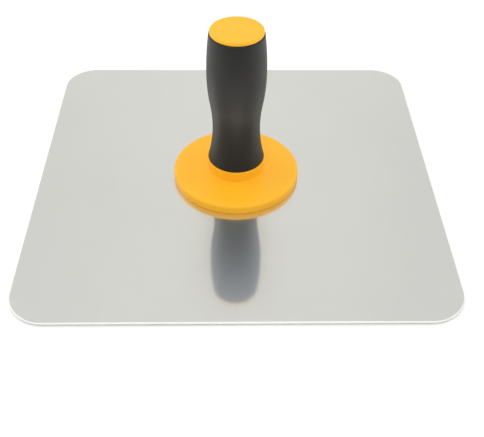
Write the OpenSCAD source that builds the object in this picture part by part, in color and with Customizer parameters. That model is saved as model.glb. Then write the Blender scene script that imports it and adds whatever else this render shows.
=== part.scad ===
// Plasterer's hawk: a square aluminium plate carried on a handle that unscrews.
// Millimetres. +Z up, origin at the middle of the working face, which rests on the ground.

/* [Plate] */
// Side of the square plate
plate_side = 330; // [260:5:400]
// Thickness of the aluminium sheet
plate_t = 2.5; // [2.2:0.1:4]
// Radius of the four corners in plan
plate_corner_r = 28; // [10:1:50]
// Rounding of the plate's edge, above and below
plate_edge_r = 0.4; // [0.3:0.1:1]

/* [Base flange] */
// Outside diameter of the flange
flange_d = 105; // [87:1:130]
// Height of the flange's rim above the plate
flange_rim_h = 7.5; // [6.5:0.5:10]
// Height of the flange where it meets the collar, above the plate
flange_hub_h = 8.6; // [7.5:0.1:11]
// Rounding of the rim's upper edge
flange_edge_r = 2.5; // [0.5:0.5:3]
// Thickness of the flange's top skin
flange_skin_t = 2.6; // [2:0.1:3]
// Thickness of the flange's outer skirt
flange_skirt_t = 3; // [2:0.5:4]
// Height of the collar's top above the plate
collar_h = 18.8; // [18:0.1:24]
// Thickness of the collar's wall
collar_wall_t = 3; // [2:0.5:4]
// Radius of the fillet at the collar's foot
collar_fillet_r = 1; // [1:0.5:4]
// Thickness of the ledge between the seat ring and the threaded hub
ledge_t = 2.2; // [2:0.1:4]
// Number of ribs under the flange
rib_count = 8; // [4:4:12]
// Thickness of each rib
rib_t = 2.2; // [1.5:0.1:3]

/* [Plate screws] */
// Diameter of the circle that the screws stand on
screw_circle_d = 76; // [63:1:84]
// Number of screws
screw_count = 4; // [3:1:6]
// Thread diameter of the countersunk screws
screw_d = 4; // [3.5:0.5:4.5]
// Diameter of the countersunk heads
screw_head_d = 8; // [7:0.1:9.6]
// Height of the countersunk heads
screw_head_h = 2; // [1.5:0.1:2.2]
// Length of the screws, head included
screw_l = 8; // [7:0.5:8.5]
// Width of the cross recess, from tip to tip
screw_recess_l = 4.2; // [3.5:0.1:4.6]
// Outside diameter of the brass inserts
insert_d = 6.3; // [5.5:0.1:7.5]
// Length of the brass inserts
insert_l = 5; // [4:0.5:5.5]
// Thickness of plastic round each insert
insert_boss_t = 2.2; // [1.5:0.1:3]

/* [Handle bolt] */
// Thread diameter of the bolt
bolt_d = 10; // [8:1:12]
// Gap between the bolt's tip and the plate
bolt_tip_gap = 3.5; // [1:0.5:7]
// Gap between the bolt's domed head and the handle's bore
bolt_head_gap = 0.7; // [0.3:0.1:2]
// Height of the bolt's domed head
bolt_head_h = 5.4; // [4:0.1:7]
// Height of the straight rim round the domed head
bolt_rim_h = 1; // [0.5:0.1:2]
// Gap between the bolt's square neck and the washer
bolt_neck_gap = 0.2; // [0.1:0.1:2]
// Width across flats of the nut
nut_af = 16; // [15:0.5:19]
// Thickness of the nut
nut_t = 5; // [4:0.5:6]
// Outside diameter of the washer above the nut
washer_d = 20; // [17:0.5:24]
// Thickness of the washer above the nut
washer_t = 2; // [1.5:0.1:2.5]
// Room round the washer inside the handle's foot
washer_room = 1; // [0.5:0.1:2]
// Width across flats of the threaded hub
hub_af = 17; // [15:0.5:20]
// Gap between the threaded hub and the plate
hub_gap = 0.5; // [0.2:0.1:2]
// Thickness of plastic round the hub's corners
hub_socket_t = 2; // [1.5:0.1:2.5]

/* [Seat ring] */
// Outside diameter of the seat ring
seat_d = 30; // [25:1:34]
// Thickness of the seat ring
seat_t = 1.8; // [1.2:0.1:2.5]
// Gap between the seat ring and the nut
seat_nut_gap = 0.5; // [0.3:0.1:1]
// Height that the seat ring stands proud of the collar
seat_proud = 0.2; // [0.1:0.1:0.5]
// Thickness of the seat ring's snap wall
seat_snap_t = 1.2; // [0.8:0.1:1.5]
// Height of the seat ring's snap wall
seat_snap_h = 3.6; // [2.8:0.1:5]
// Width of the slots that let the snap wall flex
seat_slot_w = 1.5; // [1:0.1:2.5]

/* [Handle] */
// Length of the grip
grip_l = 114.5; // [95:0.5:140]
// Diameter of the grip at its belly, where it is widest in the hand
grip_d = 47; // [40:0.1:55]
// Depth that the neck is drawn in from the belly
grip_waist = 4.2; // [1:0.1:5]
// Flare of the foot out from the neck, which the collar below shares
grip_flare = 4.2; // [1:0.1:6]
// Depth that the end is drawn in from the belly
grip_taper = 2.2; // [0.5:0.1:4]
// Height of the neck above the grip's foot
grip_neck_h = 31.5; // [26:0.5:38]
// Height of the belly above the grip's foot
grip_belly_h = 80.5; // [67:0.5:94]
// Share of the way from neck to belly at which the curve turns over
grip_bend = 0.42; // [0.2:0.01:0.8]
// Thickness of the soft sleeve
sleeve_t = 3.5; // [2.5:0.1:4.5]
// Rounding of the sleeve's end edges
sleeve_edge_r = 0.8; // [0.3:0.1:1.2]
// Thickness of the core's wall at the neck
core_wall_t = 2.75; // [1.5:0.05:4]
// Thickness of the core's floor, which the bolt clamps
core_floor_t = 6.5; // [4:0.1:10]

/* [End cap] */
// Height of the cap above the grip
cap_h = 3; // [2:0.1:5]
// Rounding of the cap's edge
cap_edge_r = 1.2; // [0.3:0.1:1.8]
// Width of the grip's end left showing round the cap
cap_reveal = 0.6; // [0.1:0.1:1]
// Length of the cap's plug inside the core
plug_l = 12; // [9:0.5:16]
// Thickness of the plug's wall
plug_t = 2; // [1.5:0.1:3]
// Width of the slots that let the plug flex
plug_slot_w = 1.6; // [1:0.1:2.5]
// Length of the plug left whole above its slots
plug_root_l = 2; // [1:0.5:4]

/* [Hidden] */
$fn = 96;
// Sides of a full circle for the long, flat arcs of the grip
arc_sides = 480;

// Radial clearance between a thread's crest and the hole it is cut in
thread_gap = 0.07;
// Radial clearance between pieces that are pressed or moulded together
fit_gap = 0.05;
// Radial clearance between pieces that turn or pass freely
free_gap = 0.3;
// Overrun of cutting shapes past the faces that they cut
over = 1;
// Height of the snap beads of the seat ring and the cap
bead_h = 0.4;
// Distance of the snap beads' middles from the end of their walls
seat_bead_inset = 0.8;
plug_bead_inset = 2;
// Chamfer of the bolt's tip, the nut and the hub
chamfer = 0.8;
// Rounding of the collar's top edge
collar_edge_r = 0.8;
// Width of the cross recess's arms and its depth
recess_w = 0.9;
recess_h = 1.6;

// Colours of the pieces
aluminium_grey = [0.84, 0.84, 0.82];
zinc_grey = [0.72, 0.73, 0.74];
brass_gold = [0.8, 0.65, 0.35];
moulded_yellow = [1, 0.73, 0.2];
nylon_white = [0.92, 0.91, 0.86];
grip_black = [0.2, 0.2, 0.18];

// Levels, from the working face up
plate_top = plate_t;
hub_level = plate_top + flange_hub_h;
collar_top = plate_top + collar_h;
grip_foot = collar_top + seat_proud;
grip_top = grip_foot + grip_l;
seat_foot = grip_foot - seat_t;
hub_top = seat_foot - ledge_t;
hub_foot = plate_top + hub_gap;
nut_foot = grip_foot + seat_nut_gap;
washer_foot = nut_foot + nut_t;
floor_foot = washer_foot + washer_t;
floor_top = floor_foot + core_floor_t;
bolt_tip = plate_top + bolt_tip_gap;
neck_foot = floor_foot + bolt_neck_gap;
plug_foot = grip_top - plug_l;
cap_bead_level = plug_foot + plug_bead_inset;
snap_top = grip_foot + seat_snap_h;
seat_bead_level = snap_top - seat_bead_inset;

// Radii
function hex_r(af) = af / cos(30) / 2;
belly_r = grip_d / 2;
neck_r = belly_r - grip_waist;
foot_r = neck_r + grip_flare;
end_r = belly_r - grip_taper;
flange_r = flange_d / 2;
bolt_r = bolt_d / 2;
screw_r = screw_d / 2;
snap_gap = free_gap / 2;
pocket_r = max(washer_d / 2 + washer_room, hex_r(nut_af) + free_gap + seat_snap_t + snap_gap);
seat_snap_r = pocket_r - snap_gap;
core_bore_r = neck_r - sleeve_t - fit_gap - core_wall_t;
bolt_head_r = core_bore_r - bolt_head_gap;
plug_r = core_bore_r - fit_gap;
cap_r = end_r - cap_reveal;

// The grip's curve is four arcs: from the foot to the neck, from the neck to the bend, from
// there to the belly and from the belly to the end. It runs upright at the neck and the belly
function sagitta_r(depth, span) = (pow(depth, 2) + pow(span, 2)) / (2 * depth);
foot_arc_r = sagitta_r(grip_flare, grip_neck_h);
bend_span = grip_belly_h - grip_neck_h;
bend_arcs_r = sagitta_r(grip_waist, bend_span);
neck_arc_r = bend_arcs_r * grip_bend;
belly_arc_r = bend_arcs_r - neck_arc_r;
end_arc_r = sagitta_r(grip_taper, grip_l - grip_belly_h);

// Part of the grip's half section from height h0 to h1, outside an arc that bows inwards
module waist_band(h0, h1, width, arc_r, inset) {
    difference() {
        translate([0, h0]) square([width, h1 - h0]);
        translate([neck_r + arc_r, grip_neck_h]) circle(arc_r + inset, $fn = arc_sides);
    }
}

// Part of the grip's half section from height h0 to h1, inside an arc that bows outwards
module belly_band(h0, h1, arc_r, inset) {
    intersection() {
        translate([0, h0]) square([belly_r, h1 - h0]);
        translate([belly_r - arc_r, grip_belly_h]) circle(arc_r - inset, $fn = arc_sides);
    }
}

// Half section of the grip, with its curve drawn inwards by the given inset
module grip_section(inset) {
    bend_h = grip_neck_h + bend_span * (neck_arc_r + inset) / bend_arcs_r;
    translate([0, grip_foot]) {
        waist_band(0, grip_neck_h, foot_r, foot_arc_r, inset);
        waist_band(grip_neck_h, bend_h, belly_r, neck_arc_r, inset);
        belly_band(bend_h, grip_belly_h, belly_arc_r, inset);
        belly_band(grip_belly_h, grip_l, end_arc_r, inset);
    }
}

// What a rounding takes off an outer corner at the origin that points to +X +Y
module corner_cut(r) {
    difference() {
        translate([-r, -r]) square(r + over);
        translate([-r, -r]) circle(r);
    }
}

// What a fillet adds to an inner corner at the origin that opens to +X +Y
module corner_fill(r) {
    difference() {
        translate([-over, -over]) square(r + over);
        translate([r, r]) circle(r);
    }
}

// A round bar from level z0 to level z1
module bar(r, z0, z1) {
    translate([0, 0, z0]) cylinder(r = r, h = z1 - z0);
}

// A tube from level z0 to level z1
module tube(outer_r, inner_r, z0, z1) {
    difference() {
        bar(outer_r, z0, z1);
        bar(inner_r, z0 - over, z1 + over);
    }
}

// A hexagonal bar with its corners chamfered at both ends
module hex_bar(af, z0, z1) {
    corner_r = hex_r(af);
    slope_h = chamfer * tan(30);
    intersection() {
        translate([0, 0, z0]) cylinder(r = corner_r, h = z1 - z0, $fn = 6);
        rotate_extrude() polygon([[0, z0], [corner_r - chamfer, z0], [corner_r, z0 + slope_h],
                                  [corner_r, z1 - slope_h], [corner_r - chamfer, z1], [0, z1]]);
    }
}

// Children at each plate screw
module at_screws() {
    for (i = [0:screw_count - 1])
        rotate(360 / screw_count * (i + 0.5)) translate([screw_circle_d / 2, 0, 0]) children();
}

// Half section of the plate's rounded edge, from x = 0 to x = half_w
module plate_half(half_w) {
    square([half_w - plate_edge_r, plate_t]);
    translate([0, plate_edge_r]) square([half_w, plate_t - 2 * plate_edge_r]);
    translate([half_w - plate_edge_r, plate_edge_r]) circle(plate_edge_r);
    translate([half_w - plate_edge_r, plate_t - plate_edge_r]) circle(plate_edge_r);
}

module plate_blank() {
    straight = plate_side - 2 * plate_corner_r;
    for (turn = [0, 90])
        rotate([90, 0, turn]) linear_extrude(straight, center = true) {
            plate_half(plate_side / 2);
            mirror([1, 0]) plate_half(plate_side / 2);
        }
    for (x = [-straight / 2, straight / 2])
        for (y = [-straight / 2, straight / 2])
            translate([x, y, 0]) rotate_extrude() intersection() {
                plate_half(plate_corner_r);
                square([plate_corner_r, plate_t]);
            }
}

module plate() {
    color(aluminium_grey) difference() {
        plate_blank();
        at_screws() {
            bar(screw_r + free_gap, -over, plate_t + over);
            translate([0, 0, -over]) cylinder(
                r1 = screw_head_d / 2 + fit_gap + over * (screw_head_d / 2 - screw_r) / screw_head_h,
                r2 = screw_r + fit_gap,
                h = screw_head_h + over);
        }
    }
}

module plate_screws() {
    color(zinc_grey) at_screws() difference() {
        union() {
            cylinder(d1 = screw_head_d, d2 = screw_d, h = screw_head_h);
            bar(screw_r - thread_gap, 0, screw_l);
        }
        for (turn = [0, 90])
            rotate(turn) translate([-screw_recess_l / 2, -recess_w / 2, -over])
                cube([screw_recess_l, recess_w, recess_h + over]);
    }
}

module screw_inserts() {
    color(brass_gold) at_screws() tube(insert_d / 2, screw_r, plate_top, plate_top + insert_l);
}

// Half section of the flange and its collar, without their hollow
module flange_section() {
    rim_level = plate_top + flange_rim_h;
    fillet_drop = (hub_level - rim_level) * collar_fillet_r / (flange_r - foot_r);
    difference() {
        union() {
            polygon([[0, plate_top], [flange_r, plate_top], [flange_r, rim_level],
                     [foot_r, hub_level], [foot_r, collar_top], [0, collar_top]]);
            translate([foot_r, hub_level - fillet_drop]) corner_fill(collar_fillet_r);
        }
        translate([flange_r, rim_level]) corner_cut(flange_edge_r);
        translate([foot_r, collar_top]) corner_cut(collar_edge_r);
    }
}

// Half section of the hollow under the flange and inside the collar, open below
module flange_hollow_section() {
    skirt_r = flange_r - flange_skirt_t;
    wall_r = foot_r - collar_wall_t;
    socket_r = hex_r(hub_af) + hub_socket_t;
    polygon([[socket_r, plate_top - over], [skirt_r, plate_top - over],
             [skirt_r, plate_top + flange_rim_h - flange_skin_t],
             [wall_r, hub_level - flange_skin_t], [wall_r, hub_top], [socket_r, hub_top]]);
}

module base_flange() {
    color(moulded_yellow) difference() {
        rotate_extrude() flange_section();
        difference() {
            rotate_extrude() flange_hollow_section();
            for (i = [0:rib_count - 1])
                rotate(360 / rib_count * i) translate([0, -rib_t / 2, plate_top])
                    cube([flange_r, rib_t, collar_h]);
            at_screws() bar(insert_d / 2 + insert_boss_t, plate_top, collar_top);
        }
        at_screws() {
            bar(insert_d / 2 + fit_gap, plate_top - over, plate_top + insert_l);
            bar(screw_r + free_gap, plate_top - over, screw_l + free_gap);
        }
        translate([0, 0, plate_top - over])
            cylinder(r = hex_r(hub_af) + fit_gap, h = hub_top - plate_top + over, $fn = 6);
        bar(bolt_r + free_gap, plate_top, collar_top);
        bar(seat_d / 2 + free_gap, seat_foot, collar_top + over);
    }
}

module threaded_hub() {
    color(zinc_grey) difference() {
        hex_bar(hub_af, hub_foot, hub_top);
        bar(bolt_r, 0, collar_top);
    }
}

module seat_ring() {
    color(nylon_white) difference() {
        union() {
            bar(seat_d / 2, seat_foot, grip_foot);
            bar(seat_snap_r, seat_foot, snap_top);
            translate([0, 0, seat_bead_level]) rotate_extrude()
                translate([seat_snap_r, 0]) circle(bead_h);
        }
        bar(seat_snap_r - seat_snap_t, grip_foot, snap_top + over);
        bar(bolt_r + free_gap, 0, collar_top + over);
        for (turn = [0, 90])
            rotate(turn) translate([-seat_d, -seat_slot_w / 2, grip_foot])
                cube([2 * seat_d, seat_slot_w, seat_snap_h + over]);
    }
}

module handle_bolt() {
    dome_h = bolt_head_h - bolt_rim_h;
    dome_r = sagitta_r(dome_h, bolt_head_r);
    thread_r = bolt_r - thread_gap;
    color(zinc_grey) {
        bar(bolt_head_r, floor_top, floor_top + bolt_rim_h);
        translate([0, 0, floor_top + bolt_rim_h]) rotate_extrude() intersection() {
            translate([0, dome_h - dome_r]) circle(dome_r, $fn = arc_sides);
            square([bolt_head_r, dome_h]);
        }
        translate([-bolt_r, -bolt_r, neck_foot]) cube([bolt_d, bolt_d, floor_top - neck_foot]);
        bar(thread_r, bolt_tip + chamfer, floor_top);
        translate([0, 0, bolt_tip]) cylinder(r1 = thread_r - chamfer, r2 = thread_r, h = chamfer);
    }
}

module bolt_washer() {
    color(zinc_grey) tube(washer_d / 2, bolt_r + fit_gap, washer_foot, floor_foot);
}

module bolt_nut() {
    color(zinc_grey) difference() {
        hex_bar(nut_af, nut_foot, washer_foot);
        bar(bolt_r, 0, floor_foot);
    }
}

module handle_core() {
    neck_w = bolt_d + 2 * fit_gap;
    color(moulded_yellow) difference() {
        rotate_extrude() grip_section(sleeve_t + fit_gap);
        bar(core_bore_r, floor_top, grip_top + over);
        translate([-neck_w / 2, -neck_w / 2, floor_foot - over])
            cube([neck_w, neck_w, core_floor_t + 2 * over]);
        bar(pocket_r, grip_foot - over, floor_foot);
        translate([0, 0, cap_bead_level]) rotate_extrude()
            translate([core_bore_r, 0]) circle(bead_h + fit_gap);
        translate([0, 0, seat_bead_level]) rotate_extrude()
            translate([seat_snap_r, 0]) circle(bead_h + snap_gap);
    }
}

module grip_sleeve() {
    color(grip_black) rotate_extrude() difference() {
        grip_section(0);
        grip_section(sleeve_t);
        translate([foot_r, grip_foot]) mirror([0, 1]) corner_cut(sleeve_edge_r);
        translate([end_r, grip_top]) corner_cut(sleeve_edge_r);
    }
}

module end_cap() {
    color(moulded_yellow) difference() {
        union() {
            rotate_extrude() difference() {
                translate([0, grip_top]) square([cap_r, cap_h]);
                translate([cap_r, grip_top + cap_h]) corner_cut(cap_edge_r);
            }
            tube(plug_r, plug_r - plug_t, plug_foot, grip_top + cap_h / 2);
            translate([0, 0, cap_bead_level]) rotate_extrude()
                translate([plug_r, 0]) circle(bead_h);
        }
        for (turn = [0, 90])
            rotate(turn) translate([-belly_r, -plug_slot_w / 2, plug_foot - over])
                cube([2 * belly_r, plug_slot_w, plug_l - plug_root_l + over]);
    }
}

plate();
plate_screws();
screw_inserts();
base_flange();
threaded_hub();
seat_ring();
handle_bolt();
bolt_washer();
bolt_nut();
handle_core();
grip_sleeve();
end_cap();
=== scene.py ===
from functools import reduce
from math import asin, ceil, degrees, pi, radians, sqrt
from operator import mul

import bmesh
import bpy
from mathutils import Matrix, Vector


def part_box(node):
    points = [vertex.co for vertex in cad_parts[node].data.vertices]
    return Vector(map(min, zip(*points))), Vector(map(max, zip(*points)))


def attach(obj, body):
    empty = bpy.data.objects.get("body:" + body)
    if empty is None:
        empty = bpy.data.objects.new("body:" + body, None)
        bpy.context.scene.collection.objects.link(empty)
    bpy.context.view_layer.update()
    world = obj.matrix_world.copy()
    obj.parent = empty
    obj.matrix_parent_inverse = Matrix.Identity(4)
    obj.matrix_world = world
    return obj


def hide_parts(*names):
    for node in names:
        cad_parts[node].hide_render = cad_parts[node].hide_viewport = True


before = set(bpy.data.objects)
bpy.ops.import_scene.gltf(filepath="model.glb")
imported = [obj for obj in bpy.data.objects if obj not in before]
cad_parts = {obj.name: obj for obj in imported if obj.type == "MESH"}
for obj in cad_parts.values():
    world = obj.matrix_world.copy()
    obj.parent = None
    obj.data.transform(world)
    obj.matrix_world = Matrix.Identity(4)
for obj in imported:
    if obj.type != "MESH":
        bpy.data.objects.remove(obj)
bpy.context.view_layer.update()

millimetre = 0.001  # shapes are drawn in millimetres and scaled once, when a piece is finished
nodeCorners = {name: [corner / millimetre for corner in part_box(name)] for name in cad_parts}
print("frame loaded:", len(nodeCorners), "nodes")

cameraView = {
    "place": (-0.00656, -0.51556, 0.42287),
    "turn": -1.357,  # degrees about the upright
    "tilt": 47.445,  # degrees up from looking straight down
    "lean": 0.786,
    "lens": 57.67,
    "sensor": 36.0,
    "clip": (0.01, 20),
}


def placeCamera(view):
    camera = bpy.data.objects.new("studioCamera", bpy.data.cameras.new("studioCamera"))
    camera.data.lens = view["lens"]
    camera.data.sensor_width = view["sensor"]
    camera.data.sensor_fit = "HORIZONTAL"
    camera.data.clip_start, camera.data.clip_end = view["clip"]
    camera.matrix_world = (
        Matrix.Translation(view["place"])
        @ Matrix.Rotation(radians(view["turn"]), 4, "Z")
        @ Matrix.Rotation(radians(view["tilt"]), 4, "X")
        @ Matrix.Rotation(radians(view["lean"]), 4, "Z")
    )
    bpy.context.scene.collection.objects.link(camera)
    bpy.context.scene.camera = camera


placeCamera(cameraView)
bpy.context.scene.view_settings.view_transform = "Standard"
print("camera placed")


class Wire:
    # one output of a node tree; sums written with it become Math nodes
    def __init__(self, tree, socket=None):
        self.tree = tree
        self.socket = socket

    def node(self, kind, settings=None, inputs=None, output=0):
        made = self.tree.nodes.new("ShaderNode" + kind)
        for name, value in (settings or {}).items():
            if name != "stops":
                setattr(made, name, value)
                continue
            stops = made.color_ramp.elements
            while len(stops) < len(value):
                stops.new(1.0)
            for stop, (place, shade) in zip(stops, value):
                stop.position, stop.color = place, (shade, shade, shade, 1.0)
        for name, value in (inputs or {}).items():
            if isinstance(value, Wire):
                self.tree.links.new(value.socket, made.inputs[name])
            else:
                made.inputs[name].default_value = value
        return Wire(self.tree, made.outputs[output] if made.outputs else None)

    def outputs(self, *names):
        # several outputs of this wire's own node
        return [Wire(self.tree, self.socket.node.outputs[name]) for name in names]

    def axes(self):
        return self.node("SeparateXYZ", None, {0: self}).outputs(0, 1, 2)

    def maths(self, operation, *values):
        return self.node("Math", {"operation": operation}, dict(enumerate(values)))

    def __add__(self, other):
        return self.maths("ADD", self, other)

    def __sub__(self, other):
        return self.maths("SUBTRACT", self, other)

    def __rsub__(self, other):
        return self.maths("SUBTRACT", other, self)

    def __mul__(self, other):
        return self.maths("MULTIPLY", self, other)

    def __pow__(self, other):
        return self.maths("POWER", self, other)

    def __abs__(self):
        return self.maths("ABSOLUTE", self)

    __radd__ = __add__
    __rmul__ = __mul__

    def blend(self, dark, light):
        # two colours mixed by this value
        dark, light = (c if isinstance(c, Wire) else (*c, 1.0) for c in (dark, light))
        return self.node("Mix", {"data_type": "RGBA"}, {0: self, 6: dark, 7: light}, 2)

    def fade(self, nothing, full):
        # a smooth step from 0 to 1 between two values
        return self.node("MapRange", {"interpolation_type": "SMOOTHSTEP"}, {
            "Value": self, "From Min": nothing, "From Max": full})

    def noise(self, size, detail=2.0, roughness=0.5, distortion=0.0):
        # size is the pattern's grain in metres along each axis; self is a vector
        spread = self.node("Mapping", None, {"Vector": self, "Scale": [1 / s for s in size]})
        return self.node("TexNoise", None, {
            "Vector": spread, "Scale": 1.0, "Detail": detail,
            "Roughness": roughness, "Distortion": distortion})


def newMaterial(name):
    material = bpy.data.materials.new(name)
    material.use_nodes = True
    material.node_tree.nodes.clear()
    start = Wire(material.node_tree)
    return material, start, start.node("TexCoord", output="Object")


def closeMaterial(start, surface):
    start.node("OutputMaterial", None, {"Surface": surface})


aluminiumFinish = {
    "mirrorColour": (0.895, 0.820, 0.661),
    "hazeColour": (0.82, 0.90, 0.98),
    "edgeColour": (0.93, 0.93, 0.91),
    # the torn lower edge band, darkened further as painted shade for the contact shadow under the edge
    "tornAndShadedColour": (0.42, 0.42, 0.41),
    "mirrorRoughness": 0.066,
    "hazeRoughness": 0.32,
    "hazeShare": 0.465,
    "rollLine": (0.0005, 0.06, 0.0005),
    "mottle": (0.007, 0.016, 0.007),
    "cloud": (0.07, 0.09, 0.07),
    "toneSpread": {"cloud": 0.10, "mottle": 0.10, "lines": 0.03},
    "roughSpread": {"lines": 0.06, "mottle": 0.04, "edge": 0.12, "torn": 0.25, "marks": 0.08},
    "lineHeight": 0.000004,
    "edgeBand": 0.0003,
    "tornLevel": 0.0006,
    "tornBlur": 0.00015,
    "tornWaver": 0.0006,
    "underLevels": (0.0012, 0.0004),  # the working face starts between these two
    "markGrain": (0.0006, 0.05, 0.0006),
    "markAngles": (28, -37),
    "markStops": [(0.60, 0.0), (0.70, 1.0)],
    "markDepth": 0.4,
    "sag": 0.066,  # the rolled sheet's slow rise towards its front and back edges, per metre
}


def aluminiumMaterial(finish, halfSide, cornerRadius):
    material, start, place = newMaterial("rolledAluminium")
    x, y, z = place.axes()
    straight = halfSide - cornerRadius
    acrossX, acrossY = (start.maths("MAXIMUM", abs(along) - straight, 0.0) for along in (x, y))
    fromEdge = cornerRadius - (acrossX ** 2.0 + acrossY ** 2.0) ** 0.5
    edge = fromEdge.fade(finish["edgeBand"], finish["edgeBand"] / 2)
    lines = place.noise(finish["rollLine"], 3.0, 0.6)
    mottle = place.noise(finish["mottle"], 3.0, 0.55)
    cloud = place.noise(finish["cloud"], 1.0)
    # a sheared edge is burnished above and torn below; the torn band's dark colour is partly painted shade,
    # for the contact shadow under the plate's edge
    wavering = z + (lines - 0.5) * finish["tornWaver"]
    torn = edge * wavering.fade(
        finish["tornLevel"] + finish["tornBlur"], finish["tornLevel"] - finish["tornBlur"])
    # the working face below has fine marks running both ways
    streaks = []
    for angle in finish["markAngles"]:
        turned = start.node("Mapping", None, {"Vector": place, "Rotation": (0, 0, radians(angle))})
        streak = turned.noise(finish["markGrain"], 1.0)
        streaks.append(start.node("ValToRGB", {"stops": finish["markStops"]}, {0: streak}))
    marks = start.maths("MINIMUM", streaks[0] + streaks[1], 1.0) * z.fade(*finish["underLevels"])
    spread = finish["toneSpread"]
    tone = 1.0 + (
        (cloud - 0.5) * spread["cloud"] + (mottle - 0.5) * spread["mottle"]
        + (lines - 0.5) * spread["lines"])
    mirrorColour, hazeColour = (
        torn.blend(edge.blend(finish[face], finish["edgeColour"]), finish["tornAndShadedColour"])
        for face in ("mirrorColour", "hazeColour"))
    bright = start.node("Mix", {"data_type": "RGBA", "blend_type": "MULTIPLY"}, {
        0: 1.0, 6: mirrorColour, 7: start.node("CombineColor", None, {0: tone, 1: tone, 2: tone})}, 2)
    spread = finish["roughSpread"]
    rough = (
        finish["mirrorRoughness"] + (lines - 0.5) * spread["lines"] + (mottle - 0.5) * spread["mottle"]
        + edge * spread["edge"] + torn * spread["torn"] + marks * spread["marks"])
    relief = (lines + marks * finish["markDepth"]) * finish["lineHeight"] + (y ** 2.0) * finish["sag"]
    bump = start.node("Bump", None, {"Strength": 1.0, "Distance": 1.0, "Height": relief})
    mirror = start.node("BsdfPrincipled", None, {
        "Base Color": bright, "Metallic": 1.0, "Normal": bump, "Roughness": rough})
    haze = start.node("BsdfPrincipled", None, {
        "Base Color": hazeColour, "Metallic": 1.0, "Roughness": finish["hazeRoughness"]})
    closeMaterial(start, start.node("MixShader", None, {0: finish["hazeShare"], 1: mirror, 2: haze}))
    return material


mouldedFinish = {
    "colour": (0.975, 0.487, 0.020),
    "deepColour": (0.960, 0.465, 0.016),
    "roughness": 0.40,
    "specular": 0.28,
    "grain": (0.00035, 0.00035, 0.00035),
    "flow": (0.02, 0.02, 0.012),
    "grainHeight": 0.000006,
}

gripFinish = {
    "colour": (0.0112, 0.0107, 0.0099),
    "deepColour": (0.0095, 0.0091, 0.0083),
    "roughness": 0.46,
    "specular": 0.5,
    "grain": (0.0005, 0.0005, 0.0005),
    "flow": (0.012, 0.012, 0.02),
    "grainHeight": 0.00002,
    "paintedSheenAndShade": [
        # painted sheen: lighter round the waist, where the grip faces down to the bright plate, between two
        # fades in height
        {"colour": (0.0225, 0.0208, 0.0185), "fades": [(0.060, 0.078), (0.125, 0.080)]},
        # painted shade: still black at its foot, where the flare faces up to the dim side
        {"colour": (0.0047, 0.0043, 0.0036), "fades": [(0.068, 0.045)]},
    ],
}

nylonFinish = {
    "colour": (0.80, 0.79, 0.72),
    "deepColour": (0.74, 0.72, 0.64),
    "roughness": 0.45,
    "specular": 0.4,
    "grain": (0.0005, 0.0005, 0.0005),
    "flow": (0.008, 0.008, 0.008),
    "grainHeight": 0.000008,
}

mouldedSpread = {"grain": 0.12, "flow": 0.08}  # how far each pattern moves a moulded skin's roughness


def mouldedMaterial(name, finish):
    # a moulded plastic or rubber skin: fine grain in relief and in gloss, slow flow in colour
    material, start, place = newMaterial(name)
    grain = place.noise(finish["grain"], 3.0, 0.6)
    flow = place.noise(finish["flow"], 2.0, 0.5, 0.6)
    colour = flow.blend(finish["deepColour"], finish["colour"])
    paintedSheenAndShade = finish.get("paintedSheenAndShade", ())
    height = place.axes()[2] if paintedSheenAndShade else None
    # painted sheen and shade: lighter or darker bands up the height, where a finish lists them
    for paintedBand in paintedSheenAndShade:
        share = reduce(mul, [height.fade(*levels) for levels in paintedBand["fades"]])
        colour = share.blend(colour, paintedBand["colour"])
    bump = start.node("Bump", None, {
        "Strength": 1.0, "Distance": finish["grainHeight"], "Height": grain})
    rough = (
        finish["roughness"] + (grain - 0.5) * mouldedSpread["grain"] + (flow - 0.5) * mouldedSpread["flow"])
    closeMaterial(start, start.node("BsdfPrincipled", None, {
        "Base Color": colour, "Normal": bump, "Specular IOR Level": finish["specular"],
        "Roughness": rough}))
    return material


zincFinish = {
    "colour": (0.66, 0.68, 0.70),
    "deepColour": (0.52, 0.53, 0.52),
    "roughness": 0.28,
    "turned": (0.004, 0.004, 0.00018),
    "patch": (0.003, 0.003, 0.003),
    "turnedHeight": 0.000002,
}

brassFinish = {
    "colour": (0.78, 0.55, 0.22),
    "deepColour": (0.62, 0.41, 0.15),
    "roughness": 0.30,
    "turned": (0.0025, 0.0025, 0.00015),
    "patch": (0.002, 0.002, 0.002),
    "turnedHeight": 0.000002,
}

metalSpread = {"patch": 0.25, "turned": 0.1}  # how far each pattern moves a metal's roughness


def metalMaterial(name, finish):
    # a turned or plated metal: fine rings up the axis and patches of duller plating
    material, start, place = newMaterial(name)
    turned = place.noise(finish["turned"], 2.0, 0.6)
    patch = place.noise(finish["patch"], 3.0, 0.55)
    bump = start.node("Bump", None, {
        "Strength": 1.0, "Distance": finish["turnedHeight"], "Height": turned})
    rough = (
        finish["roughness"] + (patch - 0.5) * metalSpread["patch"] + (turned - 0.5) * metalSpread["turned"])
    closeMaterial(start, start.node("BsdfPrincipled", None, {
        "Base Color": patch.blend(finish["deepColour"], finish["colour"]), "Metallic": 1.0,
        "Roughness": rough, "Normal": bump}))
    return material


def vertsOf(geom):
    return [part for part in geom if isinstance(part, bmesh.types.BMVert)]


def edgesOf(geom):
    return [part for part in geom if isinstance(part, bmesh.types.BMEdge)]


def newSince(bm, before):
    return [v for v in bm.verts if v not in before]


def linked(verts):
    # verts with their edges and faces, each once and in a steady order
    edges = dict.fromkeys(e for v in verts for e in v.link_edges)
    faces = dict.fromkeys(f for v in verts for f in v.link_faces)
    return [*verts, *edges, *faces]


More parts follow.
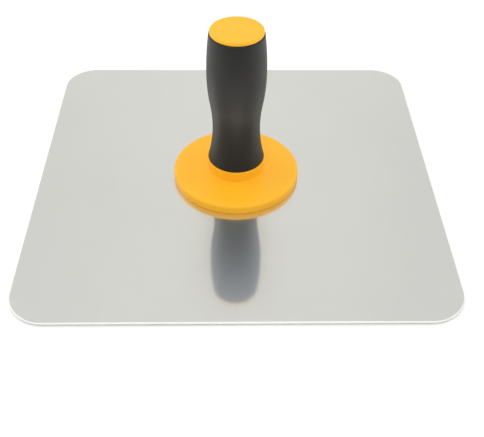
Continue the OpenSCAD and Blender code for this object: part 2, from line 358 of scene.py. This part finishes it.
def drawProfile(bm, start, moves):
    # a half section in millimetres: (r, z) runs straight, (centreR, centreZ, degrees, steps) sweeps
    tip = bm.verts.new((start[0], 0, start[1]))
    points = [tip]
    for move in moves:
        if len(move) == 2:
            fresh = bm.verts.new((move[0], 0, move[1]))
            bm.edges.new((tip, fresh))
            tip = fresh
        else:
            centreR, centreZ, turn, steps = move
            swept = bmesh.ops.spin(
                bm, geom=[tip], cent=(centreR, 0, centreZ), axis=(0, -1, 0), dvec=(0, 0, 0),
                angle=radians(turn), steps=steps, use_merge=False, use_duplicate=False)
            tip = swept["geom_last"][0]
        points.append(tip)
    return points


def closeProfile(bm, points):
    bm.edges.new((points[-1], points[0]))


def roundCorners(bm, corners, radius, steps=4):
    bmesh.ops.bevel(
        bm, geom=corners, offset=radius, offset_type="OFFSET", segments=steps, profile=0.5,
        affect="VERTICES", material=-1, clamp_overlap=True)


def splitRuns(bm, longest):
    # long straight runs are divided, so that shading stays even along them
    for edge in bm.edges[:]:
        cuts = ceil(edge.calc_length() / longest) - 1
        if cuts > 0:
            bmesh.ops.subdivide_edges(bm, edges=[edge], cuts=cuts)


def mergeDoubles(bm, verts=None, reach=0.0005):
    bmesh.ops.remove_doubles(bm, verts=verts or bm.verts[:], dist=reach)


def lathe(bm, steps, verts=None):
    bmesh.ops.spin(
        bm, geom=linked(verts or bm.verts[:]), cent=(0, 0, 0), axis=(0, 0, 1),
        dvec=(0, 0, 0), angle=2 * pi, steps=steps, use_merge=True, use_duplicate=False)
    mergeDoubles(bm)


def edgesAt(bm, level, reach=1000.0, centre=(0, 0)):
    # open edges at one level, within reach of an upright axis
    return [
        edge for edge in bm.edges
        if edge.is_boundary and all(
            abs(v.co.z - level) < 0.003 and (v.co.xy - Vector(centre)).length < reach
            for v in edge.verts)]


def ringOf(bm, sides, radius, level, turn=0.0):
    # a bare ring of edges round the upright axis
    made = bmesh.ops.create_circle(
        bm, segments=sides, radius=radius, cap_ends=False,
        matrix=Matrix.Translation((0, 0, level)) @ Matrix.Rotation(radians(turn), 4, "Z"))
    return list(dict.fromkeys(edge for vert in made["verts"] for edge in vert.link_edges))


def squareRing(bm, halfSide, level):
    return ringOf(bm, 4, halfSide * sqrt(2), level, turn=45)


def bridge(bm, *rings):
    for lower, upper in zip(rings, rings[1:]):
        bmesh.ops.bridge_loops(bm, edges=lower + upper)


def repeatAround(bm, geom, count, firstTurn=0.0):
    bmesh.ops.rotate(
        bm, verts=vertsOf(geom), cent=(0, 0, 0), matrix=Matrix.Rotation(radians(firstTurn), 3, "Z"))
    for i in range(1, count):
        copied = bmesh.ops.duplicate(bm, geom=geom)["geom"]
        bmesh.ops.rotate(
            bm, verts=vertsOf(copied), cent=(0, 0, 0), matrix=Matrix.Rotation(2 * pi * i / count, 3, "Z"))


def windThread(bm, shape, low, high):
    # one pitch of thread flank wound up the axis, then trimmed square at both ends
    crest, root, pitch, steps = (shape[name] for name in ("crest", "root", "pitch", "steps"))
    flat, rise = pitch / 8, pitch * 5 / 16
    before = set(bm.verts)
    foot = low - pitch * 1.5
    drawProfile(bm, (root, foot), [
        (root, foot + flat), (crest, foot + flat + rise), (crest, foot + 2 * flat + rise),
        (root, foot + 2 * flat + 2 * rise), (root, foot + pitch)])
    turns = ceil((high - low) / pitch) + 3
    bmesh.ops.spin(
        bm, geom=linked(newSince(bm, before)), cent=(0, 0, 0), axis=(0, 0, 1),
        dvec=(0, 0, pitch / steps), angle=2 * pi * turns, steps=steps * turns,
        use_merge=False, use_duplicate=False)
    mergeDoubles(bm, newSince(bm, before), 0.002)
    for level, above in ((low, False), (high, True)):
        bmesh.ops.bisect_plane(
            bm, geom=linked(newSince(bm, before)), dist=0.0002, plane_co=(0, 0, level),
            plane_no=(0, 0, 1), clear_outer=above, clear_inner=not above)


def turnDown(bm, radiusAt, low, high):
    # verts between two levels are brought in to the radius that a cutter would leave
    for v in bm.verts:
        if low - 0.001 <= v.co.z <= high:
            limit, reach = radiusAt(v.co.z), v.co.xy.length
            if reach > limit:
                v.co.xy = v.co.xy * (limit / reach)


def finishPiece(name, bm, body, slot, material, *nodes, crease=32.0, flatUpright=False):
    mergeDoubles(bm)
    bmesh.ops.dissolve_degenerate(bm, edges=bm.edges[:], dist=0.0002)
    bmesh.ops.recalc_face_normals(bm, faces=bm.faces[:])
    for face in bm.faces:
        face.smooth = not (flatUpright and abs(face.normal.z) > 0.9999)
    for edge in bm.edges:
        edge.smooth = len(edge.link_faces) == 2 and edge.calc_face_angle(0.0) < radians(crease)
    bmesh.ops.scale(bm, vec=(millimetre,) * 3, verts=bm.verts[:])
    mesh = bpy.data.meshes.new(name)
    bm.to_mesh(mesh)
    bm.free()
    mesh.materials.append(material)
    piece = bpy.data.objects.new(name, mesh)
    bpy.context.scene.collection.objects.link(piece)
    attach(piece, body)
    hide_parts(*nodes)
    print("made", name, len(mesh.vertices), "verts")
    return piece


plateShape = {
    "cornerRadius": 28.0,
    "edgeRadius": 0.4,
    "cornerSteps": 28,
    "edgeSteps": 4,
    "screwCircle": 76.0,
    "sinkRadius": 4.05,
    "holeRadius": 2.3,
    "sinkDepth": 1.75,
    "holeSteps": 8,  # along each side of the square cell round a hole
    "cell": 5.0,  # half of that cell's side
}
screwPlaces = [
    (x * plateShape["screwCircle"] / sqrt(8), y * plateShape["screwCircle"] / sqrt(8))
    for x in (-1, 1) for y in (-1, 1)]


def roundedSquare(bm, halfSide, radius, steps, level=0.0):
    made = bmesh.ops.create_grid(
        bm, x_segments=1, y_segments=1, size=halfSide, matrix=Matrix.Translation((0, 0, level)))
    roundCorners(bm, made["verts"], radius, steps)


def drawRing(bm, ring, centre, radius, level):
    # an open loop of edges carried on to a circle at another level
    fresh = bmesh.ops.extrude_edge_only(bm, edges=ring)["geom"]
    verts = set(vertsOf(fresh))
    for v in verts:
        v.co = (*(centre + (v.co.xy - centre).normalized() * radius), level)
    return [edge for edge in edgesOf(fresh) if verts.issuperset(edge.verts)]


def drillPlate(bm, shape, place, thickness):
    hole, sink = shape["holeRadius"], shape["sinkRadius"]
    mouth = [(hole, thickness)]
    throat = [(sink, 0.0), (hole, shape["sinkDepth"]), (hole, thickness)]
    for level, steps in ((thickness, mouth), (0.0, throat)):
        cell = min(bm.faces, key=lambda f: (f.calc_center_median() - Vector((*place, level))).length)
        rim = list(cell.edges)
        bmesh.ops.delete(bm, geom=[cell], context="FACES_ONLY")
        bmesh.ops.subdivide_edges(bm, edges=rim, cuts=shape["holeSteps"] - 1)
        ring = edgesAt(bm, level, shape["cell"] * 1.5, place)
        for radius, height in steps:
            ring = drawRing(bm, ring, Vector(place), radius, height)


def buildPlate(shape, material):
    low, high = nodeCorners["plate"]
    bm = bmesh.new()
    roundedSquare(bm, high.x, shape["cornerRadius"], shape["cornerSteps"], low.z)
    lifted = bmesh.ops.extrude_face_region(bm, geom=bm.faces[:])["geom"]
    bmesh.ops.translate(bm, verts=vertsOf(lifted), vec=(0, 0, high.z - low.z))
    rim = [e for e in bm.edges if abs(e.verts[0].co.z - e.verts[1].co.z) < 0.001]
    bmesh.ops.bevel(
        bm, geom=rim, offset=shape["edgeRadius"], offset_type="OFFSET", segments=shape["edgeSteps"],
        profile=0.5, affect="EDGES", material=-1, clamp_overlap=True)
    # the faces are cut into cells, one of them square round each screw
    for place in sorted({along for screw in screwPlaces for along in screw}):
        for side in (-shape["cell"], shape["cell"]):
            for normal in ((1, 0, 0), (0, 1, 0)):
                bmesh.ops.bisect_plane(
                    bm, geom=bm.verts[:] + bm.edges[:] + bm.faces[:], dist=0.0001,
                    plane_co=Vector(normal) * (place + side), plane_no=normal)
    for place in screwPlaces:
        drillPlate(bm, shape, place, high.z)
    return finishPiece("hawkPlate", bm, "base", "plate", material, "plate", flatUpright=True)


aluminium = aluminiumMaterial(aluminiumFinish, nodeCorners["plate"][1].x * millimetre,
                              plateShape["cornerRadius"] * millimetre)
buildPlate(plateShape, aluminium)

flangeShape = {
    "rimLevel": 10.0,
    "hubLevel": 11.1,
    "collarRadius": 23.5,
    "edgeRadius": 2.5,
    "footRadius": 0.35,
    "filletRadius": 1.0,
    "collarEdge": 0.8,
    "seatEdge": 0.3,
    "skin": 2.6,
    "skirt": 3.0,
    "collarWall": 3.0,
    "ledge": 2.2,
    "seatRadius": 15.3,
    "boreRadius": 5.3,
    "socketRadius": 11.815,
    "hexCorner": 9.865,
    "ribThickness": 2.2,
    "ribBite": 0.5,  # how far a rib runs into the walls that it joins
    "ribUnderHub": 1.9,
    "ribUnderRim": 1.8,
    "bossRadius": 5.35,
    "bossRoof": 9.2,
    "bossSkin": 0.6,
    "bossRib": 4.5,  # how far from a boss's axis its two ribs stop
    "bossRibLevels": (8.6, 8.4, 8.2),
    "insertRadius": 3.2,
    "insertLength": 5.0,
    "screwRadius": 2.3,
    "bossSteps": 32,
    "longestRun": 2.5,
    "steps": 160,
}


def addBoss(bm, shape, low):
    # a blind boss for one brass insert, on its own axis
    roof, blind, seat = shape["bossRoof"], shape["bossRoof"] - shape["bossSkin"], low + shape["insertLength"]
    before = set(bm.verts)
    drawProfile(bm, (0, blind), [
        (shape["screwRadius"], blind), (shape["screwRadius"], seat), (shape["insertRadius"], seat),
        (shape["insertRadius"], low), (shape["bossRadius"], low), (shape["bossRadius"], roof), (0, roof)])
    lathe(bm, shape["bossSteps"], newSince(bm, before))
    verts = newSince(bm, before)
    bmesh.ops.translate(bm, verts=verts, vec=(plateShape["screwCircle"] / 2, 0, 0))
    return linked(verts)


def addRib(bm, shape, corners):
    # an upright rib with the given (r, z) corners
    verts = [bm.verts.new((r, -shape["ribThickness"] / 2, z)) for r, z in corners]
    pushed = bmesh.ops.extrude_face_region(bm, geom=[bm.faces.new(verts)])["geom"]
    bmesh.ops.translate(bm, verts=vertsOf(pushed), vec=(0, shape["ribThickness"], 0))
    return linked(verts + vertsOf(pushed))


def addRibs(bm, shape, low, wall, skirt, hubTop):
    bite, boss, gap = shape["ribBite"], plateShape["screwCircle"] / 2, shape["bossRib"]
    socket, roof = shape["socketRadius"] - bite, shape["hubLevel"] - shape["ribUnderHub"]
    rimRoof = shape["rimLevel"] - shape["ribUnderRim"]
    nearLevel, farLevel, rimLevel = shape["bossRibLevels"]
    inner = [(socket, low), (wall + bite, low), (wall + bite, hubTop + bite), (socket, hubTop + bite)]
    outer = [(wall, low), (skirt + bite, low), (skirt + bite, rimRoof), (wall, roof)]
    nearBoss = [(wall, low), (boss - gap, low), (boss - gap, nearLevel), (wall, roof)]
    farBoss = [(boss + gap, low), (skirt + bite, low), (skirt + bite, rimLevel), (boss + gap, farLevel)]
    for corners, count, turn in ((inner, 8, 0), (outer, 4, 0), (nearBoss, 4, 45), (farBoss, 4, 45)):
        repeatAround(bm, addRib(bm, shape, corners), count, turn)


def buildFlange(shape, material):
    low, high = nodeCorners["base_flange"]
    rim, collar = high.x, shape["collarRadius"]
    wall, skirt = collar - shape["collarWall"], rim - shape["skirt"]
    seat = nodeCorners["seat_ring"][0].z
    hubTop = seat - shape["ledge"]
    bm = bmesh.new()
    points = drawProfile(bm, (shape["socketRadius"], low.z), [
        (shape["socketRadius"], hubTop), (wall, hubTop), (wall, shape["hubLevel"] - shape["skin"]),
        (skirt, shape["rimLevel"] - shape["skin"]), (skirt, low.z), (rim, low.z),
        (rim, shape["rimLevel"]), (collar, shape["hubLevel"]), (collar, high.z),
        (shape["seatRadius"], high.z), (shape["seatRadius"], seat), (shape["boreRadius"], seat),
        (shape["boreRadius"], hubTop)])
    for corner, radius, steps in (
            (6, "footRadius", 3), (7, "edgeRadius", 7), (8, "filletRadius", 5),
            (9, "collarEdge", 4), (10, "seatEdge", 2)):
        roundCorners(bm, [points[corner]], shape[radius], steps)
    splitRuns(bm, shape["longestRun"])
    lathe(bm, shape["steps"])
    # the hub's hexagonal socket joins the bore above to the round socket wall below
    top, bottom = (ringOf(bm, 6, shape["hexCorner"], level, turn=30) for level in (hubTop, low.z))
    bridge(bm, edgesAt(bm, hubTop, shape["boreRadius"] + 1), top)
    bridge(bm, bottom, edgesAt(bm, low.z, shape["socketRadius"] + 1))
    bridge(bm, top, bottom)
    repeatAround(bm, addBoss(bm, shape, low.z), 4, 45)
    addRibs(bm, shape, low.z, wall, skirt, hubTop)
    return finishPiece("baseFlange", bm, "base", "yellow_plastic", material, "base_flange")


yellowPlastic = mouldedMaterial("mouldedYellow", mouldedFinish)
buildFlange(flangeShape, yellowPlastic)

gripShape = {
    "bellyRadius": 23.5,
    "waist": 4.2,  # how much slimmer it is at the waist than at the belly
    "flare": 4.2,
    "taper": 2.2,
    "neckHeight": 31.5,  # of the waist above the foot
    "bellyHeight": 80.5,
    "bend": 0.42,  # the waist arc's share of the run from waist to belly
    "arcSteps": (14, 9, 12, 14),
    "wall": 3.5,
    "edgeRadius": 0.8,
    "steps": 160,
}


def sagittaRadius(depth, span):
    return (depth ** 2 + span ** 2) / (2 * depth)


def gripCurve(shape, inset):
    # the grip's four arcs from its foot up, and where they start and end, at an inset from the skin
    low, high = nodeCorners["grip_sleeve"]
    belly, neckRise, bellyRise = shape["bellyRadius"], shape["neckHeight"], shape["bellyHeight"]
    neck, span, endRise = belly - shape["waist"], bellyRise - neckRise, high.z - low.z - bellyRise
    footArc = sagittaRadius(shape["flare"], neckRise)
    bendArcs = sagittaRadius(shape["waist"], span)
    neckArc, bellyArc = bendArcs * shape["bend"], bendArcs * (1 - shape["bend"])
    endArc = sagittaRadius(shape["taper"], endRise)
    neckZ, bellyZ = low.z + neckRise, low.z + bellyRise
    bend = asin(span / bendArcs)
    turns = (-asin(neckRise / (footArc + inset)), -bend, bend, asin(endRise / (endArc - inset)))
    centres = (
        (neck + footArc, neckZ), (neck + neckArc, neckZ),
        (belly - bellyArc, bellyZ), (belly - endArc, bellyZ))
    arcs = [
        (*centre, degrees(turn), steps) for centre, turn, steps in zip(centres, turns, shape["arcSteps"])]
    footR = neck + footArc - sqrt((footArc + inset) ** 2 - neckRise ** 2)
    endR = belly - endArc + sqrt((endArc - inset) ** 2 - endRise ** 2)
    return arcs, (footR, low.z), (endR, high.z)


def buildSleeve(shape, material):
    arcs, foot = gripCurve(shape, 0.0)[:2]
    innerArcs, innerEnd = gripCurve(shape, shape["wall"])[::2]
    bm = bmesh.new()
    backDown = [(r, z, -turn, steps) for r, z, turn, steps in innerArcs[::-1]]
    points = drawProfile(bm, foot, arcs + [innerEnd] + backDown)
    closeProfile(bm, points)
    roundCorners(bm, [points[0]], shape["edgeRadius"])
    roundCorners(bm, [points[4]], shape["edgeRadius"])
    lathe(bm, shape["steps"])
    return finishPiece("softGrip", bm, "handle", "soft_grip", material, "grip_sleeve")


softBlack = mouldedMaterial("softBlack", gripFinish)
buildSleeve(gripShape, softBlack)

coreShape = {
    "inset": 3.55,  # from the grip's skin
    "bore": 13.0,
    "pocketRadius": 11.0,
    "pocketEdge": 0.4,
    "mouthEdge": 0.5,
    "squareHole": 5.05,
    "boltHead": 5.4,
    "longestRun": 6.0,
    "steps": 96,
}


def buildCore(shape, grip, material):
    arcs, foot, end = gripCurve(grip, shape["inset"])
    floorTop = nodeCorners["handle_bolt"][1].z - shape["boltHead"]
    floorFoot = nodeCorners["bolt_washer"][1].z
    bm = bmesh.new()
    pocket = drawProfile(bm, (shape["pocketRadius"], floorFoot), [(shape["pocketRadius"], foot[1]), foot])
    roundCorners(bm, [pocket[1]], shape["pocketEdge"], 3)
    outside = drawProfile(bm, foot, arcs + [(shape["bore"], end[1]), (shape["bore"], floorTop)])
    roundCorners(bm, [outside[-2]], shape["mouthEdge"], 3)
    mergeDoubles(bm)
    splitRuns(bm, shape["longestRun"])
    lathe(bm, shape["steps"])
    # the square hole for the bolt's neck runs through the floor
    top, bottom = (squareRing(bm, shape["squareHole"], level) for level in (floorTop, floorFoot))
    bridge(bm, edgesAt(bm, floorTop, shape["bore"] + 1), top)
    bridge(bm, edgesAt(bm, floorFoot, shape["pocketRadius"] + 1), bottom)
    bridge(bm, top, bottom)
    return finishPiece("handleCore", bm, "handle", "yellow_plastic", material, "handle_core")


buildCore(coreShape, gripShape, yellowPlastic)

capShape = {
    "dishRadius": 18.2,
    "dishDepth": 0.25,
    "dishSlope": 0.5,
    "dishEdge": 0.35,
    "rimFall": 0.15,
    "edgeRadius": 1.2,
    "undercut": 0.8,
    "plugRadius": 12.95,
    "plugInner": 10.95,
    "plugRoot": 0.5,  # how far the fingers run into the head
    "fingers": 4,
    "fingerSteps": 18,
    "slotWidth": 1.6,
    "beadHeight": 0.4,
    "beadInset": 2.0,
    "longestRun": 2.0,
    "steps": 144,
}


def addFingers(bm, shape, low, root):
    # springy fingers with a snap bead, each swept through its own part of a turn
    before = set(bm.verts)
    slot = shape["slotWidth"] / shape["plugRadius"]
    bead = low + shape["beadInset"]
    points = drawProfile(bm, (shape["plugInner"], root), [
        (shape["plugInner"], low), (shape["plugRadius"], low),
        (shape["plugRadius"], bead - shape["beadHeight"]), (shape["plugRadius"], bead, 180, 6),
        (shape["plugRadius"], root)])
    closeProfile(bm, points)
    section = newSince(bm, before)
    outline = edgesOf(linked(section))
    face = bmesh.ops.contextual_create(bm, geom=outline)["faces"]
    bmesh.ops.rotate(bm, verts=section, cent=(0, 0, 0), matrix=Matrix.Rotation(slot / 2, 3, "Z"))
    bmesh.ops.spin(
        bm, geom=face + outline + section, cent=(0, 0, 0), axis=(0, 0, 1), dvec=(0, 0, 0),
        angle=2 * pi / shape["fingers"] - slot, steps=shape["fingerSteps"],
        use_merge=False, use_duplicate=False)
    repeatAround(bm, linked(newSince(bm, before)), shape["fingers"])


def buildCap(shape, material):
    low, high = nodeCorners["end_cap"]
    grip = nodeCorners["grip_sleeve"][1].z
    dish, floor = shape["dishRadius"], high.z - shape["dishDepth"]
    bm = bmesh.new()
    # the head: a shallow dish inside a rounded rim, and an undercut where it meets the sleeve
    points = drawProfile(bm, (0, floor), [
        (dish, floor), (dish + shape["dishSlope"], high.z), (high.x, high.z - shape["rimFall"]),
        (high.x, grip), (0, grip)])
    for corner, radius, steps in (
            (1, "dishEdge", 3), (2, "dishEdge", 3), (3, "edgeRadius", 6), (4, "undercut", 3)):
        roundCorners(bm, [points[corner]], shape[radius], steps)
    splitRuns(bm, shape["longestRun"])
    lathe(bm, shape["steps"])
    addFingers(bm, shape, low.z, grip + shape["plugRoot"])
    return finishPiece("gripCap", bm, "handle", "yellow_plastic", material, "end_cap")


buildCap(capShape, yellowPlastic)

boltShape = {
    "pitch": 1.5,
    "crest": 4.93,
    "root": 4.118,
    "steps": 36,
    "tipChamfer": 0.8,
    "neckFoot": 29.2,
    "square": 5.0,
    "headRadius": 12.3,
    "headRim": 1.0,
    "headEdge": 0.3,
    "headHeight": 5.4,
    "domeSteps": 14,
    "headSteps": 64,
}


def buildBolt(shape, material):
    low, high = nodeCorners["handle_bolt"]
    headFoot, neckFoot = high.z - shape["headHeight"], shape["neckFoot"]
    bm = bmesh.new()
    windThread(bm, shape, low.z, neckFoot)
    tipRadius = shape["crest"] - shape["tipChamfer"]
    turnDown(bm, lambda level: tipRadius + level - low.z, low.z, low.z + shape["tipChamfer"])
    bmesh.ops.contextual_create(bm, geom=edgesAt(bm, low.z))
    # the domed head
    domeHeight = shape["headHeight"] - shape["headRim"]
    domeRadius = sagittaRadius(domeHeight, shape["headRadius"])
    domeTurn = 90 - degrees(asin((domeRadius - domeHeight) / domeRadius))
    before = set(bm.verts)
    points = drawProfile(bm, (shape["headRadius"], headFoot), [
        (shape["headRadius"], headFoot + shape["headRim"]),
        (0, high.z - domeRadius, domeTurn, shape["domeSteps"])])
    roundCorners(bm, [points[1]], shape["headEdge"], 2)
    lathe(bm, shape["headSteps"], newSince(bm, before))
    # the square neck between thread and head
    rim = edgesAt(bm, headFoot)
    neckLow, neckHigh = (squareRing(bm, shape["square"], level) for level in (neckFoot, headFoot))
    bridge(bm, edgesAt(bm, neckFoot, shape["crest"] + 0.5), neckLow)
    bridge(bm, neckLow, neckHigh)
    bridge(bm, neckHigh, rim)
    return finishPiece("handleBolt", bm, "handle", "zinc_steel", material, "handle_bolt")


screwShape = {
    "pitch": 0.7,
    "crest": 1.93,
    "root": 1.55,
    "steps": 20,
    "shankRadius": 2.08,
    "headRadius": 4.0,
    "headHeight": 2.0,
    "headEdge": 0.08,
    "headSteps": 32,
    "crossLength": 4.2,
    "crossWidth": 0.9,
    "crossDepth": 1.6,
    "crossTaper": 0.55,
}


def addCross(bm, shape):
    # the cross is cut as a three by three grid without its corners, then driven in with a taper
    before = set(bm.verts)
    length, width = shape["crossLength"], shape["crossWidth"]

    def isCross(part):
        return all(v not in before and abs(v.co.z) < 0.001 for v in part.verts)

    bmesh.ops.create_grid(bm, x_segments=3, y_segments=3, size=length / 2)
    for v in newSince(bm, before):
        for axis in (0, 1):
            if abs(v.co[axis]) < length / 3:
                v.co[axis] = width / 2 * (1 if v.co[axis] > 0 else -1)
    middles = ((face, face.calc_center_median()) for face in bm.faces if isCross(face))
    corners = [face for face, middle in middles if abs(middle.x * middle.y) > 0.1]
    bmesh.ops.delete(bm, geom=corners, context="FACES")
    floor = [face for face in bm.faces if isCross(face)]
    sunk = vertsOf(bmesh.ops.extrude_face_region(bm, geom=floor)["geom"])
    bmesh.ops.translate(bm, verts=sunk, vec=(0, 0, shape["crossDepth"]))
    bmesh.ops.scale(bm, verts=sunk, vec=(shape["crossTaper"], shape["crossTaper"], 1))
    bmesh.ops.delete(bm, geom=[face for face in bm.faces if isCross(face)], context="FACES_ONLY")
    mouth = [edge for edge in bm.edges if isCross(edge) and len(edge.link_faces) == 1]
    stray = [edge for edge in bm.edges if isCross(edge) and not edge.link_faces]
    bmesh.ops.delete(bm, geom=stray, context="EDGES")
    return mouth


def buildScrews(shape, material):
    low, high = nodeCorners["plate_screws"]
    edge, neck, radius = shape["headEdge"], shape["headHeight"], shape["headRadius"]
    bm = bmesh.new()
    windThread(bm, shape, neck, high.z)
    bmesh.ops.contextual_create(bm, geom=edgesAt(bm, high.z))
    shank = edgesAt(bm, neck, shape["crest"] + 0.5)
    under, rim, face = (
        ringOf(bm, shape["headSteps"], reach, level)
        for reach, level in ((shape["shankRadius"], neck - edge), (radius, edge), (radius - edge, low.z)))
    bridge(bm, shank, under, rim, face)
    bridge(bm, addCross(bm, shape), face)
    bmesh.ops.translate(bm, verts=bm.verts[:], vec=(plateShape["screwCircle"] / 2, 0, 0))
    repeatAround(bm, linked(bm.verts[:]), 4, 45)
    return finishPiece("plateScrews", bm, "base", "zinc_steel", material, "plate_screws")


zincSteel = metalMaterial("zincSteel", zincFinish)
brass = metalMaterial("turnedBrass", brassFinish)
nylon = mouldedMaterial("naturalNylon", nylonFinish)
buildBolt(boltShape, zincSteel)
buildScrews(screwShape, zincSteel)

for name, material in (("threaded_hub", zincSteel), ("bolt_nut", zincSteel), ("bolt_washer", zincSteel),
                       ("screw_inserts", brass), ("seat_ring", nylon)):
    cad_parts[name].material_slots[0].material = material
print("fixings finished")

studio = {
    "floorSize": 4.0,
    "floorDrop": 1.0,  # millimetres below a plate that is never quite flat
    "floorInset": 4.0,  # how far the floor reaches in under the plate's edge
    "floorColour": (0.98, 0.98, 0.98),
    "floorShare": 0.05,
    "floorFront": (-0.2, -0.4),
    "skyForSkin": 1.07,
    "skyForGloss": 0.781,
    "sideFall": 1.9,
    "sideFallMost": 0.11,
    "lowLift": 0.04,
    "lowHeights": (0.62, 0.52),
    "sideLift": 0.1,
    "sides": (0.45, 0.8),
    "frontDim": 0.7,
    "skinDim": 0.6,
    "dimFront": (-0.3, -0.8),
    "dimHeights": (0.6, 0.15),
    "frontLift": 0.55,
    "liftFront": (-0.15, -0.45),
    "liftHeights": (0.55, 0.75),
}

softboxes = [
    {"name": "frontBox", "place": (0.0, -0.85, 1.25), "size": (1.0, 0.7), "power": 2.3},
    {"name": "leftBox", "place": (-1.1, 0.4, 0.95), "size": (0.8, 0.8), "power": 2.2},
    {"name": "rightBox", "place": (1.1, 0.2, 1.0), "size": (0.8, 0.8), "power": 1.1},
]


def buildWorld(values):
    world = bpy.data.worlds.new("studioWorld")
    bpy.context.scene.world = world
    world.use_nodes = True
    world.node_tree.nodes.clear()
    start = Wire(world.node_tree)
    x, y, z = start.node("TexCoord", output="Generated").axes()
    camera, glossy, clear = start.node("LightPath").outputs(
        "Is Camera Ray", "Is Glossy Ray", "Is Transmission Ray")
    fall = start.maths("MINIMUM", (x ** 2.0) * values["sideFall"], values["sideFallMost"])
    gloss = (
        1.0 - fall + z.fade(*values["lowHeights"]) * values["lowLift"]
        + abs(x).fade(*values["sides"]) * values["sideLift"])
    # one side of the studio is its dim one low down, and a bright one high up
    low = y.fade(*values["dimFront"]) * z.fade(*values["dimHeights"])
    high = y.fade(*values["liftFront"]) * z.fade(*values["liftHeights"])
    gloss = gloss * (1.0 - low * values["frontDim"] + high * values["frontLift"]) * values["skyForGloss"]
    skin = (1.0 - low * values["skinDim"]) * values["skyForSkin"]
    seen = start.maths("MINIMUM", glossy + clear, 1.0)
    strength = camera + (1.0 - camera) * (seen * gloss + (1.0 - seen) * skin)
    start.node("OutputWorld", None, {"Surface": start.node("Background", None, {
        "Color": (1.0, 1.0, 1.0, 1.0), "Strength": strength})})


def floorMaterial(values):
    material, start, place = newMaterial("studioFloor")
    camera, glossy = start.node("LightPath").outputs("Is Camera Ray", "Is Glossy Ray")
    back = start.node("NewGeometry", output="Backfacing")
    front = place.axes()[1].fade(*values["floorFront"])
    # painted shade: the floor is darker in front where reflections see it, for the studio's dim front side
    dim = glossy * front * values["frontDim"]
    paint = start.node("BsdfDiffuse", None, {
        "Color": (1.0 - dim).blend((0.0, 0.0, 0.0), values["floorColour"])})
    glow = start.node("Emission", None, {"Color": (1.0, 1.0, 1.0, 1.0), "Strength": 1.0})
    share = (camera + glossy * (1.0 - front)) * values["floorShare"]
    upper = start.node("MixShader", None, {0: share, 1: paint, 2: glow})
    closeMaterial(start, start.node("MixShader", None, {0: back, 1: upper, 2: start.node("BsdfTransparent")}))
    return material


def buildFloor(values):
    # a wide floor with a hole under the plate, so that the plate is seen from below too
    low, high = nodeCorners["plate"]
    bm = bmesh.new()
    inset, level = values["floorInset"], low.z - values["floorDrop"]
    roundedSquare(bm, high.x - inset, plateShape["cornerRadius"] - inset, 16, level)
    hole = list(bm.edges)
    bmesh.ops.delete(bm, geom=bm.faces[:], context="FACES_ONLY")
    bridge(bm, hole, ringOf(bm, len(hole), values["floorSize"] / millimetre, level, turn=45))
    bmesh.ops.recalc_face_normals(bm, faces=bm.faces[:])
    if sum(face.normal.z for face in bm.faces) < 0:
        bmesh.ops.reverse_faces(bm, faces=bm.faces[:])
    bmesh.ops.scale(bm, vec=(millimetre,) * 3, verts=bm.verts[:])
    mesh = bpy.data.meshes.new("studioFloor")
    bm.to_mesh(mesh)
    bm.free()
    mesh.materials.append(floorMaterial(values))
    floor = bpy.data.objects.new("studioFloor", mesh)
    bpy.context.scene.collection.objects.link(floor)


def buildSoftbox(values):
    lamp = bpy.data.lights.new(values["name"], "AREA")
    lamp.shape = "RECTANGLE"
    lamp.size, lamp.size_y = values["size"]
    lamp.energy = values["power"]
    softbox = bpy.data.objects.new(values["name"], lamp)
    place = Vector(values["place"])
    softbox.matrix_world = Matrix.Translation(place) @ place.to_track_quat("Z", "Y").to_matrix().to_4x4()
    softbox.visible_camera = False
    bpy.context.scene.collection.objects.link(softbox)


buildWorld(studio)
buildFloor(studio)
for values in softboxes:
    buildSoftbox(values)
print("studio lit")
